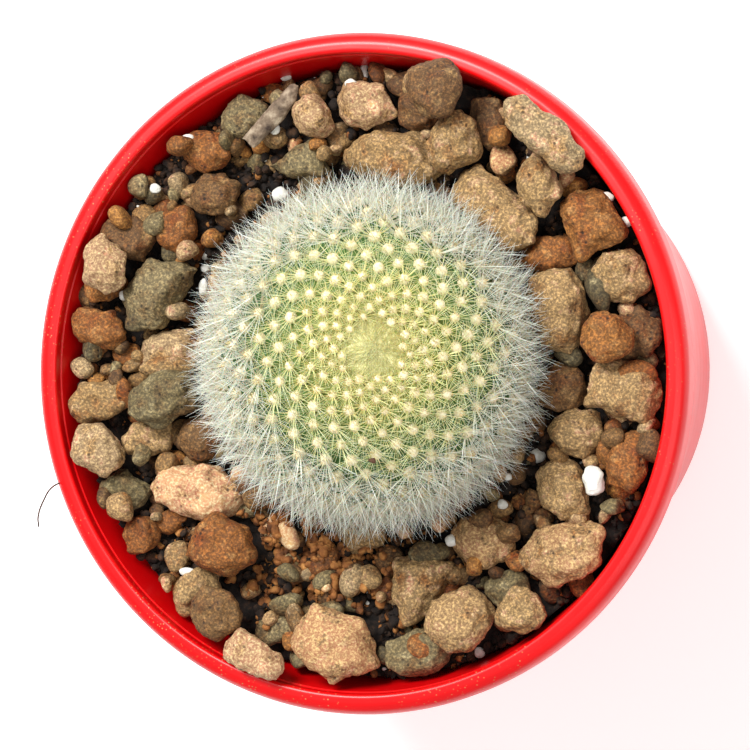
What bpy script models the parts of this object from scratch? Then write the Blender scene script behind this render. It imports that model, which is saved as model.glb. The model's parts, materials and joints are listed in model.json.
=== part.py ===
"""Potted round cactus: a spiny ball cactus in a red plastic pot, top-dressed with river gravel.

Metres, +Z up. The origin is the centre of the pot's foot on the table.
"""

import math
import random

import bmesh
import bpy
import numpy as np
from mathutils import Euler, Matrix, Vector
from mathutils.bvhtree import BVHTree

MM = 0.001
GAP = 0.3 * MM

# Pot: a tapered moulded shell with a rolled lip, a foot ring and drain holes.
POT_HEIGHT = 62 * MM
RIM_RADIUS = 45 * MM
LIP_WIDTH = 2.8 * MM
LIP_DEPTH = 4.4 * MM
LIP_ROUND = 1.9 * MM
LIP_THICKNESS = 1.8 * MM
LIP_SKIRT = 1.0 * MM
LIP_INNER_ROUND = 0.5 * MM
WALL = 1.1 * MM
FOOT_RADIUS = 33 * MM
FOOT_RING = 2.0 * MM
FLOOR_UNDERSIDE = 1.5 * MM
FLOOR_TOP = 2.7 * MM
FLOOR_FILLET = 1.0 * MM
FOOT_CHAMFER = 0.5 * MM
DRAIN_HOLES = 6
DRAIN_RADIUS = 3.0 * MM
DRAIN_CIRCLE = 19 * MM
NOTCHES = 4
NOTCH_WIDTH = 6 * MM
POT_SEGMENTS = 64

# Soil: fills the pot to a few millimetres under the gravel, heaped up towards -X.
SOIL_LEVEL = 54.5 * MM
SOIL_HEAP = 2.0 * MM
HEAP_START = 16 * MM
HEAP_END = 34 * MM
SOIL_LUMPS = 0.35 * MM
SOIL_CLEARANCE = 2 * GAP
SOIL_RINGS = 7
SOIL_SEGMENTS = 40

# Cactus: a slightly flattened ball on a short buried neck, leaning towards +X.
GLOBE_RADIUS = 19.3 * MM
GLOBE_HALF_HEIGHT = 18.4 * MM
GLOBE_CENTRE = Vector((3.3, 2.4, 65)) * MM
LEAN_TO_X = math.radians(19)
LEAN_TO_Y = math.radians(3.5)
NECK_RADIUS = 8 * MM
NECK_BOTTOM = -25 * MM
TUBERCLE = 0.9 * MM
CROWN_SPACING = 0.5 * MM
FLANK_SPACING = 4.8 * MM
SPACING_ANGLE = math.radians(50)
GOLDEN_ANGLE = math.pi * (3 - math.sqrt(5))
LOWEST_AREOLE = math.radians(118)
STEM_SEGMENTS = 60
STEM_RINGS = 22

# Gravel: centre x, y, length, width (mm), turn (degrees), corners of the outline, rock.
# Stones are dropped in this order, so the first ones lie lowest.
GRAVEL = [
    (25.6, 15.6, 8.6, 5.4, 10, 5, "rust"),
    (37.8, 5.6, 7.0, 6.2, 80, 4, "brown"),
    (-30.2, -8.8, 7.4, 5.0, 15, 6, "tan"),
    (-33.2, -15.8, 6.4, 5.4, 130, 4, "olive"),
    (19.6, -28.2, 6.6, 5.4, 20, 5, "olive"),
    (-0.7, -21.4, 7.4, 5.8, 0, 5, "tan"),
    (-9.7, 28.2, 8.4, 5.6, 10, 3, "olive"),
    (17.2, 33.4, 7.8, 5.4, 100, 5, "brown"),
    (4.4, 28.4, 14.2, 8.4, 165, 5, "tan"),
    (-23.4, -8.6, 6.8, 6.4, 40, 6, "brown"),
    (-16.8, 34.8, 7.4, 5.8, 20, 5, "olive"),
    (-21.4, 30.4, 7.2, 5.6, 165, 5, "rust"),
    (-21.4, 25.0, 7.4, 6.0, 20, 6, "brown"),
    (-25.4, 20.0, 7.8, 5.4, 95, 5, "rust"),
    (-31.4, 19.6, 7.4, 6.4, 150, 6, "brown"),
    (-29.4, 12.2, 11.6, 7.4, 58, 4, "olive"),
    (-37.0, 13.4, 6.2, 5.6, 30, 5, "rust"),
    (-34.0, 15.4, 7.8, 6.8, 120, 6, "pale"),
    (-36.8, 6.8, 7.8, 6.0, 165, 5, "rust"),
    (-28.0, 4.6, 9.0, 5.8, 10, 4, "pale"),
    (-37.0, -4.0, 9.0, 5.8, 20, 5, "tan"),
    (-27.8, -3.8, 10.0, 7.4, 20, 5, "olive"),
    (-35.8, -9.4, 8.2, 6.6, 110, 6, "pale"),
    (-25.4, -15.0, 13.6, 8.2, 172, 5, "pale"),
    (-31.8, -21.8, 6.4, 5.2, 60, 5, "rust"),
    (-21.0, -20.6, 9.4, 8.0, 165, 7, "rust"),
    (-25.2, -29.0, 7.2, 6.0, 60, 5, "tan"),
    (-21.8, -32.6, 8.2, 7.2, 80, 5, "brown"),
    (-13.2, -32.4, 11.2, 4.0, 18, 4, "olive"),
    (-15.8, -36.8, 9.2, 4.8, 158, 4, "pale"),
    (-5.2, -38.2, 12.4, 9.8, 150, 5, "tan"),
    (6.0, -38.4, 9.4, 6.4, 5, 6, "olive"),
    (7.4, -30.0, 10.4, 7.6, 75, 3, "tan"),
    (14.4, -30.8, 9.2, 8.8, 45, 6, "tan"),
    (23.0, -31.8, 6.8, 6.2, 20, 6, "tan"),
    (28.0, -25.2, 13.4, 8.6, 6, 5, "tan"),
    (17.4, -23.4, 8.6, 7.2, 5, 6, "tan"),
    (26.6, -17.0, 8.8, 7.4, 120, 6, "tan"),
    (37.4, -12.0, 8.2, 6.2, 75, 6, "rust"),
    (27.6, -10.2, 7.4, 6.6, 20, 6, "tan"),
    (27.6, -3.2, 7.2, 6.8, 60, 5, "brown"),
    (37.6, -4.2, 10.2, 7.6, 170, 4, "tan"),
    (34.0, 2.8, 7.6, 6.4, 160, 5, "rust"),
    (37.4, 11.6, 7.6, 7.4, 0, 7, "tan"),
    (29.0, 9.0, 11.8, 8.0, 102, 5, "tan"),
    (32.2, 18.6, 9.0, 7.6, 110, 4, "rust"),
    (27.4, 22.8, 8.8, 6.0, 100, 5, "tan"),
    (21.0, 23.4, 14.4, 6.8, 140, 4, "tan"),
    (25.8, 30.6, 13.8, 5.2, 137, 4, "pale"),
    (14.0, 28.8, 9.2, 7.2, 75, 5, "tan"),
    (7.6, 33.2, 6.8, 6.4, 45, 5, "brown"),
    (12.2, 36.6, 8.6, 7.2, 110, 5, "brown"),
    (1.0, 35.4, 9.0, 6.6, 165, 5, "pale"),
    (-6.6, 31.8, 5.8, 5.6, 0, 6, "pale"),
]
GRAVEL_SEED = 7
PERLITE = [(-17.0, -14.9, 4.6, 3.4, 115), (29.6, -15.2, 4.0, 2.8, 100)]
BARK = (-11.9, 34.6, 10.6, 2.6, 48)
BED_CELL = 0.3 * MM
MOST_SLIDE = 2.4 * MM
SLIDE_COST = 0.5
COLOURS = {
    "red plastic": (0.80, 0.02, 0.02),
    "peat": (0.02, 0.016, 0.012),
    "cactus green": (0.16, 0.30, 0.12),
    "rust": (0.37, 0.19, 0.09),
    "brown": (0.20, 0.125, 0.08),
    "tan": (0.44, 0.33, 0.21),
    "pale": (0.62, 0.49, 0.33),
    "olive": (0.22, 0.20, 0.13),
    "perlite": (0.85, 0.85, 0.82),
    "bark": (0.33, 0.27, 0.21),
}


def clear_scene():
    for obj in list(bpy.data.objects):
        bpy.data.objects.remove(obj)


def material(name, roughness):
    found = bpy.data.materials.get(name)
    if found:
        return found
    made = bpy.data.materials.new(name)
    made.use_nodes = True
    shader = made.node_tree.nodes["Principled BSDF"]
    shader.inputs["Base Color"].default_value = (*COLOURS[name], 1)
    shader.inputs["Roughness"].default_value = roughness
    shader.inputs["Metallic"].default_value = 0
    return made


def mesh_object(name, bm, paint=None):
    bmesh.ops.recalc_face_normals(bm, faces=bm.faces)
    mesh = bpy.data.meshes.new(name)
    bm.to_mesh(mesh)
    bm.free()
    if paint:
        mesh.materials.append(paint)
    obj = bpy.data.objects.new(name, mesh)
    bpy.context.scene.collection.objects.link(obj)
    return obj


def shade_round(obj, sharp_angle):
    obj.data.shade_smooth()
    obj.data.set_sharp_from_angle(angle=math.radians(sharp_angle))


def lathe(profile, segments):
    """A turned mesh. A profile end at radius zero becomes a pole."""
    bm = bmesh.new()
    rings = []
    for radius, z in profile:
        if radius < 1e-9:
            rings.append([bm.verts.new((0, 0, z))])
            continue
        turns = [math.tau * i / segments for i in range(segments)]
        rings.append([bm.verts.new((radius * math.cos(t), radius * math.sin(t), z)) for t in turns])
    for low, high in zip(rings, rings[1:]):
        for i in range(segments):
            j = (i + 1) % segments
            corners = [low[i % len(low)], low[j % len(low)], high[j % len(high)], high[i % len(high)]]
            bm.faces.new(list(dict.fromkeys(corners)))
    return bm


def arc(centre, radius, start, end, steps):
    """Points of an arc in the profile plane, from start to end in degrees."""
    turns = [math.radians(start + (end - start) * i / steps) for i in range(steps + 1)]
    return [(centre[0] + radius * math.cos(t), centre[1] + radius * math.sin(t)) for t in turns]


def wall_outside(z):
    """The outer radius of the pot's wall at height z, which would reach the lip's inner edge at the top."""
    top = RIM_RADIUS - LIP_WIDTH + WALL
    return FOOT_RADIUS + (top - FOOT_RADIUS) * z / POT_HEIGHT


def wall_inside(z):
    return wall_outside(z) - WALL


def pot_profile():
    """Once round the shell's section: foot, outside, lip, inside, floor."""
    lip_bottom = POT_HEIGHT - LIP_DEPTH
    lip_roof = POT_HEIGHT - LIP_THICKNESS
    skirt_inside = RIM_RADIUS - LIP_SKIRT
    ring_inside = FOOT_RADIUS - FOOT_RING
    round_centre = (RIM_RADIUS - LIP_ROUND, POT_HEIGHT - LIP_ROUND)
    inner_centre = (RIM_RADIUS - LIP_WIDTH + LIP_INNER_ROUND, POT_HEIGHT - LIP_INNER_ROUND)
    return [
        (0, FLOOR_UNDERSIDE),
        (DRAIN_CIRCLE, FLOOR_UNDERSIDE),
        (ring_inside, FLOOR_UNDERSIDE),
        (ring_inside, 0),
        (FOOT_RADIUS - FOOT_CHAMFER, 0),
        (wall_outside(FOOT_CHAMFER), FOOT_CHAMFER),
        (wall_outside(0.5 * POT_HEIGHT), 0.5 * POT_HEIGHT),
        (wall_outside(lip_roof), lip_roof),
        (skirt_inside, lip_roof),
        (skirt_inside, lip_bottom),
        (RIM_RADIUS - 0.2 * MM, lip_bottom),
        *arc(round_centre, LIP_ROUND, 0, 90, 5),
        *arc(inner_centre, LIP_INNER_ROUND, 90, 180, 2),
        (wall_inside(0.5 * POT_HEIGHT), 0.5 * POT_HEIGHT),
        (wall_inside(FLOOR_TOP + FLOOR_FILLET), FLOOR_TOP + FLOOR_FILLET),
        (wall_inside(FLOOR_TOP) - FLOOR_FILLET, FLOOR_TOP),
        (DRAIN_CIRCLE, FLOOR_TOP),
        (0, FLOOR_TOP),
    ]


def drain_cutter():
    """Upright rods through the floor and bars through the foot ring, as one helper mesh."""
    bm = bmesh.new()
    for i in range(DRAIN_HOLES):
        place = Matrix.Rotation(math.tau * i / DRAIN_HOLES, 4, "Z") @ Matrix.Translation((DRAIN_CIRCLE, 0, 0))
        bmesh.ops.create_cone(
            bm, cap_ends=True, segments=20, radius1=DRAIN_RADIUS, radius2=DRAIN_RADIUS, depth=12 * MM, matrix=place
        )
    for i in range(NOTCHES):
        turn = Matrix.Rotation(math.tau * (i + 0.5) / NOTCHES, 4, "Z")
        place = turn @ Matrix.Translation((FOOT_RADIUS, 0, 0)) @ Matrix.Diagonal((8 * MM, NOTCH_WIDTH, 2 * MM, 1))
        bmesh.ops.create_cube(bm, size=1, matrix=place)
    cutter = mesh_object("drain_cutter", bm)
    cutter.hide_render = True
    cutter.display_type = "WIRE"
    return cutter


def cut(obj, cutter):
    modifier = obj.modifiers.new("cut", "BOOLEAN")
    modifier.operation = "DIFFERENCE"
    modifier.solver = "EXACT"
    modifier.object = cutter


def make_pot():
    pot = mesh_object("pot", lathe(pot_profile(), POT_SEGMENTS), material("red plastic", 0.32))
    shade_round(pot, 40)
    cut(pot, drain_cutter())
    return pot


def soil_height(x, y):
    """The soil's upper surface: level, heaped up towards -X, with low lumps a few millimetres across."""
    heap = min(1, max(0, (-x - HEAP_START) / (HEAP_END - HEAP_START)))
    lumps = math.sin(x * 900 + 1) * math.sin(y * 1100 + 2) + 0.6 * math.sin(x * 2100 + y * 1700)
    return SOIL_LEVEL + SOIL_HEAP * heap + SOIL_LUMPS * lumps


def stem_outline(grow):
    """The lathe profile of ball and neck about the ball's centre, grown outwards by a clearance."""
    half = GLOBE_HALF_HEIGHT + grow
    radius = GLOBE_RADIUS + grow
    neck = NECK_RADIUS + grow
    below = math.pi - math.asin(neck / radius)
    outline = [(0, NECK_BOTTOM - grow), (neck * 0.8, NECK_BOTTOM - grow)]
    for i in range(STEM_RINGS + 1):
        turn = below * (1 - i / STEM_RINGS)
        outline.append((radius * math.sin(turn) if i < STEM_RINGS else 0, half * math.cos(turn)))
    return outline


def stem_place():
    return Matrix.Translation(GLOBE_CENTRE) @ Euler((-LEAN_TO_Y, LEAN_TO_X, 0)).to_matrix().to_4x4()


def make_soil():
    bottom = FLOOR_TOP + GAP
    top = SOIL_LEVEL
    edge = wall_inside(top) - SOIL_CLEARANCE
    corner = FLOOR_TOP + FLOOR_FILLET
    profile = [(0, bottom), (wall_inside(FLOOR_TOP) - FLOOR_FILLET - SOIL_CLEARANCE, bottom)]
    profile.append((wall_inside(corner) - SOIL_CLEARANCE, corner + GAP))
    profile += [(edge * (1 - i / SOIL_RINGS), top) for i in range(SOIL_RINGS + 1)]
    bm = lathe(profile, SOIL_SEGMENTS)
    for vert in bm.verts:
        if vert.co.z > top - 1 * MM:
            vert.co.z = soil_height(vert.co.x, vert.co.y)
    soil = mesh_object("soil", bm, material("peat", 0.95))
    socket = mesh_object("stem_socket_cutter", lathe(stem_outline(TUBERCLE + GAP), 32))
    socket.matrix_world = stem_place()
    socket.hide_render = True
    socket.display_type = "WIRE"
    cut(soil, socket)
    return soil


def areoles():
    """Unit directions of the areoles on the ball: a golden-angle spiral whose spacing widens down the flank."""
    found = []
    angle = math.radians(2)
    while angle < LOWEST_AREOLE:
        turn = GOLDEN_ANGLE * len(found)
        found.append((math.sin(angle) * math.cos(turn), math.sin(angle) * math.sin(turn), math.cos(angle)))
        spacing = CROWN_SPACING + (FLANK_SPACING - CROWN_SPACING) * (1 - math.exp(-angle / SPACING_ANGLE))
        ring = math.tau * GLOBE_RADIUS**2 * max(math.sin(angle), 0.1)
        angle += 0.866 * spacing**2 / ring
    return np.array(found)


def make_cactus_stem():
    bm = lathe(stem_outline(0), STEM_SEGMENTS)
    tips = areoles()
    for vert in bm.verts:
        direction = np.array(vert.co.normalized())
        angle = math.acos(min(1, max(-1, direction[2])))
        if angle > LOWEST_AREOLE:
            continue
        spacing = CROWN_SPACING + (FLANK_SPACING - CROWN_SPACING) * (1 - math.exp(-angle / SPACING_ANGLE))
        nearest = GLOBE_RADIUS * math.sqrt(max(0, 2 - 2 * float((tips @ direction).max())))
        fade = min(1, (LOWEST_AREOLE - angle) / 0.2) * min(1, spacing / (3 * MM))
        rise = TUBERCLE * fade * (0.5 + 0.5 * math.cos(math.pi * min(1, nearest / (0.58 * spacing))))
        vert.co += Vector(direction) * rise
    stem = mesh_object("cactus_stem", bm, material("cactus green", 0.5))
    stem.matrix_world = stem_place()
    shade_round(stem, 60)
    return stem


def stone_mesh(length, width, height, corners, rng):
    """A convex pebble: rings of points round an outline with that many rounded corners, then their hull."""
    bm = bmesh.new()
    points = 2 * corners
    stretch = [rng.uniform(0.86, 1.12) for _ in range(points)]
    shift = [rng.uniform(-0.22, 0.22) for _ in range(points)]
    for level in (-0.85, -0.35, 0.35, 0.86):
        reach = (1 - abs(level) ** 2.8) ** 0.5
        lean = rng.uniform(-0.12, 0.12)
        for i in range(points):
            turn = math.tau * (i + shift[i]) / points
            side = 1.08 if i % 2 else 1.08 * math.cos(math.pi / corners) ** 0.55
            radius = min(1.12, side * stretch[i]) * reach * rng.uniform(0.93, 1.05)
            z = level * rng.uniform(0.86, 1.06)
            bm.verts.new(
                (
                    (radius * math.cos(turn) + lean) * length / 2,
                    radius * math.sin(turn) * width / 2,
                    z * height / 2,
                )
            )
    hull = bmesh.ops.convex_hull(bm, input=bm.verts)
    loose = [v for v in hull["geom_interior"] + hull["geom_unused"] if isinstance(v, bmesh.types.BMVert)]
    bmesh.ops.delete(bm, geom=list(set(loose)), context="VERTS")
    bmesh.ops.remove_doubles(bm, verts=bm.verts, dist=0.15 * MM)
    for axis, size in enumerate((length, width, height)):
        low = min(v.co[axis] for v in bm.verts)
        high = max(v.co[axis] for v in bm.verts)
        for vert in bm.verts:
            vert.co[axis] = ((vert.co[axis] - low) / (high - low) - 0.5) * size
    return bm


class Bed:
    """The highest surface over each cell of a plan grid, onto which the top dressing is dropped."""

    def __init__(self, fixed):
        half = int(RIM_RADIUS / BED_CELL) + 12
        self.line = np.arange(-half, half + 1) * BED_CELL
        self.top = np.full((len(self.line), len(self.line)), FLOOR_TOP)
        everywhere = (0, len(self.line), 0, len(self.line))
        for obj in fixed:
            self.raise_to(self.heights(obj, -1, everywhere), everywhere)

    def heights(self, obj, aim, window):
        """Where an upright line over each cell first meets the object, going down (-1) or up (1), or NaN."""
        tree = BVHTree.FromObject(obj, bpy.context.evaluated_depsgraph_get())
        to_local = obj.matrix_world.inverted()
        way = to_local.to_3x3() @ Vector((0, 0, aim))
        left, right, near, far = window
        found = np.full((right - left, far - near), np.nan)
        for i, x in enumerate(self.line[left:right]):
            for j, y in enumerate(self.line[near:far]):
                hit = tree.ray_cast(to_local @ Vector((x, y, -aim)), way)[0]
                if hit:
                    found[i, j] = (obj.matrix_world @ hit).z
        return found

    def raise_to(self, heights, window):
        left, right, near, far = window
        self.top[left:right, near:far] = np.fmax(self.top[left:right, near:far], heights)

    def window(self, obj):
        """The cells under the object's plan, and two more all round."""
        corners = [obj.matrix_world @ v.co for v in obj.data.vertices]
        found = []
        for axis in (0, 1):
            found.append(int(np.searchsorted(self.line, min(c[axis] for c in corners))) - 2)
            found.append(int(np.searchsorted(self.line, max(c[axis] for c in corners))) + 2)
        return found

    def drop(self, obj):
        """Lowers the object onto what lies under it, sliding it a little to where it comes lowest."""
        bpy.context.view_layer.update()
        left, right, near, far = self.window(obj)
        under = edged(self.heights(obj, 1, (left, right, near, far)))
        reach = int(MOST_SLIDE / BED_CELL)
        best = None
        for i in range(-reach, reach + 1):
            for j in range(-reach, reach + 1):
                over = self.top[left + i : right + i, near + j : far + j]
                lift = np.nanmax(over - under) + GAP
                cost = lift + SLIDE_COST * BED_CELL * math.hypot(i, j)
                if best is None or cost < best[0]:
                    best = (cost, lift, i, j)
        _, lift, i, j = best
        obj.location += Vector((i * BED_CELL, j * BED_CELL, lift))
        bpy.context.view_layer.update()
        window = (left + i, right + i, near + j, far + j)
        self.raise_to(self.heights(obj, -1, window), window)


def edged(heights):
    """The height map with one more cell all round its edge, at its lowest neighbour's height."""
    padded = np.pad(heights, 1, constant_values=np.nan)
    rows, columns = heights.shape
    lowest = heights
    for i in range(3):
        for j in range(3):
            lowest = np.fmin(lowest, padded[i : i + rows, j : j + columns])
    return np.where(np.isnan(heights), lowest, heights)


def lay(bed, name, plan, turn, shape, paint, tilt):
    obj = mesh_object(name, shape, paint)
    obj.location = Vector((*plan, 0)) * MM
    obj.rotation_euler = Euler((*tilt, math.radians(turn)))
    shade_round(obj, 35)
    bed.drop(obj)


def make_gravel(bed):
    rng = random.Random(GRAVEL_SEED)
    for number, (x, y, length, width, turn, corners, rock) in enumerate(GRAVEL, 1):
        height = 0.55 * width + rng.uniform(0.8, 1.6)
        tilt = (rng.uniform(-0.16, 0.16), rng.uniform(-0.16, 0.16))
        shape = stone_mesh(length * MM, width * MM, height * MM, corners, rng)
        lay(bed, f"gravel_{number:02d}", (x, y), turn, shape, material(rock, 0.8), tilt)


def make_perlite(bed):
    rng = random.Random(GRAVEL_SEED + 1)
    for number, (x, y, length, width, turn) in enumerate(PERLITE, 1):
        shape = stone_mesh(length * MM, width * MM, 0.8 * width * MM, 5, rng)
        lay(bed, f"perlite_{number}", (x, y), turn, shape, material("perlite", 0.9), (0, 0))


def make_bark(bed):
    x, y, length, width, turn = BARK
    shape = stone_mesh(length * MM, width * MM, 1.8 * MM, 4, random.Random(GRAVEL_SEED + 2))
    lay(bed, "bark_chip", (x, y), turn, shape, material("bark", 0.9), (0.1, 0.05))


def main():
    clear_scene()
    fixed = [make_pot(), make_soil(), make_cactus_stem()]
    bpy.context.view_layer.update()
    bed = Bed(fixed)
    make_gravel(bed)
    make_perlite(bed)
    make_bark(bed)


main()
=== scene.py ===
"""Potted round cactus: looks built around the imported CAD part.

A ball cactus with felted areoles and glassy spines, in a red moulded pot, top-dressed with river gravel.
"""

import json
import math
import random

import bpy
import numpy as np
from mathutils import Euler, Matrix, Vector, noise
from mathutils.bvhtree import BVHTree

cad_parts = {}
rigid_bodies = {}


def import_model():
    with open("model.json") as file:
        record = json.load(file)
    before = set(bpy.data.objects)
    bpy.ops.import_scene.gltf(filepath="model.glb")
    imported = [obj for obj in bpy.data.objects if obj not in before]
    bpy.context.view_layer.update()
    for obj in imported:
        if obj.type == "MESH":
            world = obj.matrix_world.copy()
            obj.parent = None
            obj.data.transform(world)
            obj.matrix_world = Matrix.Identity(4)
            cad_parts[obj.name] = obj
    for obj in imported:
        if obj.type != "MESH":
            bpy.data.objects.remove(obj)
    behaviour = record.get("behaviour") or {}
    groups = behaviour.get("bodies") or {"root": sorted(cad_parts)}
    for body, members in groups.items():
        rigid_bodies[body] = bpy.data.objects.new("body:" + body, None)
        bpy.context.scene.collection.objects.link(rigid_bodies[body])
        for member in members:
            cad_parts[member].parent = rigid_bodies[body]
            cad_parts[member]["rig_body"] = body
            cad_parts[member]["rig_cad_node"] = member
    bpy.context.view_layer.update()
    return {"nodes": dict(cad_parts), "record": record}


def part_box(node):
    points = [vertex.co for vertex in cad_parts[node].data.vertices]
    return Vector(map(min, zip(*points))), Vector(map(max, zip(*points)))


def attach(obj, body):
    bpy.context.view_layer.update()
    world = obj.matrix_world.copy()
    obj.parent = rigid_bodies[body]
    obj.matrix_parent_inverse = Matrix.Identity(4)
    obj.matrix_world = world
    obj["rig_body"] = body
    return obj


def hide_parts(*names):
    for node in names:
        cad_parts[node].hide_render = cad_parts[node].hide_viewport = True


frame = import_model()

MM = 0.001
BODY = "root"

# The pot's moulding, from the CAD node's box.
pot_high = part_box("pot")[1]
POT_HEIGHT = pot_high.z
RIM_RADIUS = pot_high.x
LIP_WIDTH = 2.8 * MM
LIP_DEPTH = 4.4 * MM
LIP_ROUND = 1.9 * MM
LIP_INNER_ROUND = 0.5 * MM
LIP_THICKNESS = 1.8 * MM
LIP_SKIRT = 1 * MM
WALL = 1.1 * MM
FOOT_RADIUS = 33 * MM
FOOT_RING = 2 * MM
FLOOR_TOP = 2.7 * MM
FLOOR_UNDERSIDE = 1.5 * MM
DRAIN_RADIUS = 3 * MM
DRAIN_CIRCLE = 19 * MM
DRAIN_HOLES = 6
NOTCHES = 4
NOTCH = (8 * MM, 6 * MM, 2 * MM)
POT_SEGMENTS = 256

# The cactus: a ball on a short buried neck, leaning towards +X.
GLOBE_RADIUS = 19.3 * MM
GLOBE_HALF_HEIGHT = 18.4 * MM
GLOBE_CENTRE = Vector((3.3, 2.4, 65)) * MM
LEAN_TO_X = math.radians(19)
LEAN_TO_Y = math.radians(3.5)
NECK_RADIUS = 8 * MM
NECK_BOTTOM = -25 * MM
TUBERCLE = 0.9 * MM
CROWN_SPACING = 0.5 * MM
FLANK_SPACING = 4.8 * MM
SPACING_ANGLE = math.radians(50)
GOLDEN_ANGLE = math.pi * (3 - math.sqrt(5))
LOWEST_AREOLE = math.radians(118)

# Soil level and its heap towards -X, as in the CAD solid.
SOIL_LEVEL = 54.5 * MM
SOIL_HEAP = 2 * MM
SOIL_CLEARANCE = 0.6 * MM

globe_place = Matrix.Translation(GLOBE_CENTRE) @ Euler((-LEAN_TO_Y, LEAN_TO_X, 0)).to_matrix().to_4x4()

# ---------------------------------------------------------------- materials


def linear(colour):
    """A hex sRGB colour as linear RGBA."""
    parts = [int(colour[i : i + 2], 16) / 255 for i in (1, 3, 5)]
    return (*[p / 12.92 if p <= 0.04045 else ((p + 0.055) / 1.055) ** 2.4 for p in parts], 1)


def add(tree, kind, output, inputs=(), stops=(), **settings):
    """Adds a node with its settings and returns one of its outputs.

    inputs gives each socket a value or another node's output. stops are a ramp's places and hex colours.
    """
    node = tree.nodes.new(kind)
    for name, value in settings.items():
        setattr(node, name, value)
    for key, value in dict(inputs).items():
        if isinstance(value, bpy.types.NodeSocket):
            tree.links.new(node.inputs[key], value)
        else:
            node.inputs[key].default_value = value
    if stops:
        elements = node.color_ramp.elements
        while len(elements) < len(stops):
            elements.new(0.5)
        for element, (place, colour) in zip(elements, stops):
            element.position = place
            element.color = linear(colour)
    return node.outputs[output]


def new_material(name, **shader_values):
    """A material with its shader's constant values set, and its tree and shader."""
    paint = bpy.data.materials.new(name)
    paint.use_nodes = True
    shader = paint.node_tree.nodes["Principled BSDF"]
    for key, value in shader_values.items():
        shader.inputs[key.replace("_", " ")].default_value = value
    return paint, paint.node_tree, shader


def per_mm(size):
    """A noise scale, in cycles per metre, whose features are this many millimetres across."""
    return 1000 / size


NOISE, RAMP, RANGE = "ShaderNodeTexNoise", "ShaderNodeValToRGB", "ShaderNodeMapRange"
MIX, MATHS, BUMP = "ShaderNodeMix", "ShaderNodeMath", "ShaderNodeBump"
# A Mix node's sockets for its share and its two colours, and its colour output.
SHARE, FIRST, SECOND, MIXED = 0, 6, 7, 2


def stone_material(name, faces, stain, pits, tones):
    """River sandstone, water-rounded: matt and granular, iron-stained and pitted, with paler worn faces."""
    paint, tree, shader = new_material(name, Roughness=0.82, IOR=1.5)
    spot = add(tree, "ShaderNodeTexCoord", "Object")
    tone = add(tree, "ShaderNodeAttribute", "Fac", attribute_name="tone")
    body = add(tree, RAMP, "Color", {"Fac": tone}, tones)
    broad = add(tree, NOISE, "Fac", {"Vector": spot, "Scale": per_mm(3.2), "Detail": 5, "Roughness": 0.6})
    rusty = add(tree, RANGE, "Result", {"Value": broad, "From Min": 0.5, "From Max": 0.68})
    colours = {SHARE: rusty, FIRST: body, SECOND: linear(stain)}
    stained = add(tree, MIX, MIXED, colours, data_type="RGBA", blend_type="MIX")
    worn = add(tree, NOISE, "Fac", {"Vector": spot, "Scale": per_mm(1.9), "Detail": 4, "Roughness": 0.65})
    bare = add(tree, RANGE, "Result", {"Value": worn, "From Min": 0.54, "From Max": 0.74})
    colours = {SHARE: bare, FIRST: stained, SECOND: linear(faces)}
    pale = add(tree, MIX, MIXED, colours, data_type="RGBA", blend_type="MIX")
    # Sand grains are about 0.2 mm, and are drawn at 0.35 mm so that they show.
    grain = add(tree, NOISE, "Fac", {"Vector": spot, "Scale": per_mm(0.35), "Detail": 2, "Roughness": 0.7})
    speckle = add(tree, RAMP, "Color", {"Fac": grain}, [(0.3, "#2e2c2a"), (0.5, "#7c7a78"), (0.7, "#dcd8d0")])
    speckled = add(
        tree, MIX, MIXED, {SHARE: 0.75, FIRST: pale, SECOND: speckle}, data_type="RGBA", blend_type="OVERLAY"
    )
    pitting = add(tree, "ShaderNodeTexVoronoi", "Distance", {"Vector": spot, "Scale": per_mm(0.95)})
    hollow = add(tree, RANGE, "Result", {"Value": pitting, "From Min": 0.30, "From Max": 0.12})
    where = add(tree, RANGE, "Result", {"Value": broad, "From Min": 0.42, "From Max": 0.6})
    pitted = add(tree, MATHS, 0, {0: hollow, 1: where}, operation="MULTIPLY")
    colours = {SHARE: pitted, FIRST: speckled, SECOND: linear(pits)}
    colour = add(tree, MIX, MIXED, colours, data_type="RGBA", blend_type="MIX")
    tree.links.new(shader.inputs["Base Color"], colour)
    relief = add(tree, MATHS, 0, {0: grain, 1: pitted}, operation="SUBTRACT")
    bump = add(tree, BUMP, "Normal", {"Height": relief, "Strength": 0.55, "Distance": 0.18 * MM})
    tree.links.new(shader.inputs["Normal"], bump)
    return paint


# Each rock: its material's name, the colours of its worn faces, stains and pits, and its range of tones.
ROCK_COLOURS = {
    "rust": (
        "rust_sandstone_rounded",
        "#c9975a",
        "#8e4716",
        "#2c1a0c",
        [(0.0, "#6e3f1a"), (0.5, "#9c6129"), (1.0, "#c58d47")],
    ),
    "brown": (
        "brown_mudstone_rounded",
        "#b08b58",
        "#77451b",
        "#20150c",
        [(0.0, "#4c331b"), (0.5, "#7a5630"), (1.0, "#a07a48")],
    ),
    "tan": (
        "tan_sandstone_rounded",
        "#d9c096",
        "#9a6633",
        "#3c2916",
        [(0.0, "#8a6a42"), (0.5, "#b18e5c"), (1.0, "#d0af7c")],
    ),
    "pale": (
        "pale_sandstone_rounded",
        "#e6d2ab",
        "#b98e58",
        "#54412c",
        [(0.0, "#a58b64"), (0.5, "#c4a87c"), (1.0, "#dfc79c")],
    ),
    "olive": (
        "olive_siltstone_rounded",
        "#b5a67c",
        "#7a5c34",
        "#2a2214",
        [(0.0, "#584c32"), (0.5, "#80714c"), (1.0, "#a39168")],
    ),
}
ROCKS = {rock: stone_material(*colours) for rock, colours in ROCK_COLOURS.items()}


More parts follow.
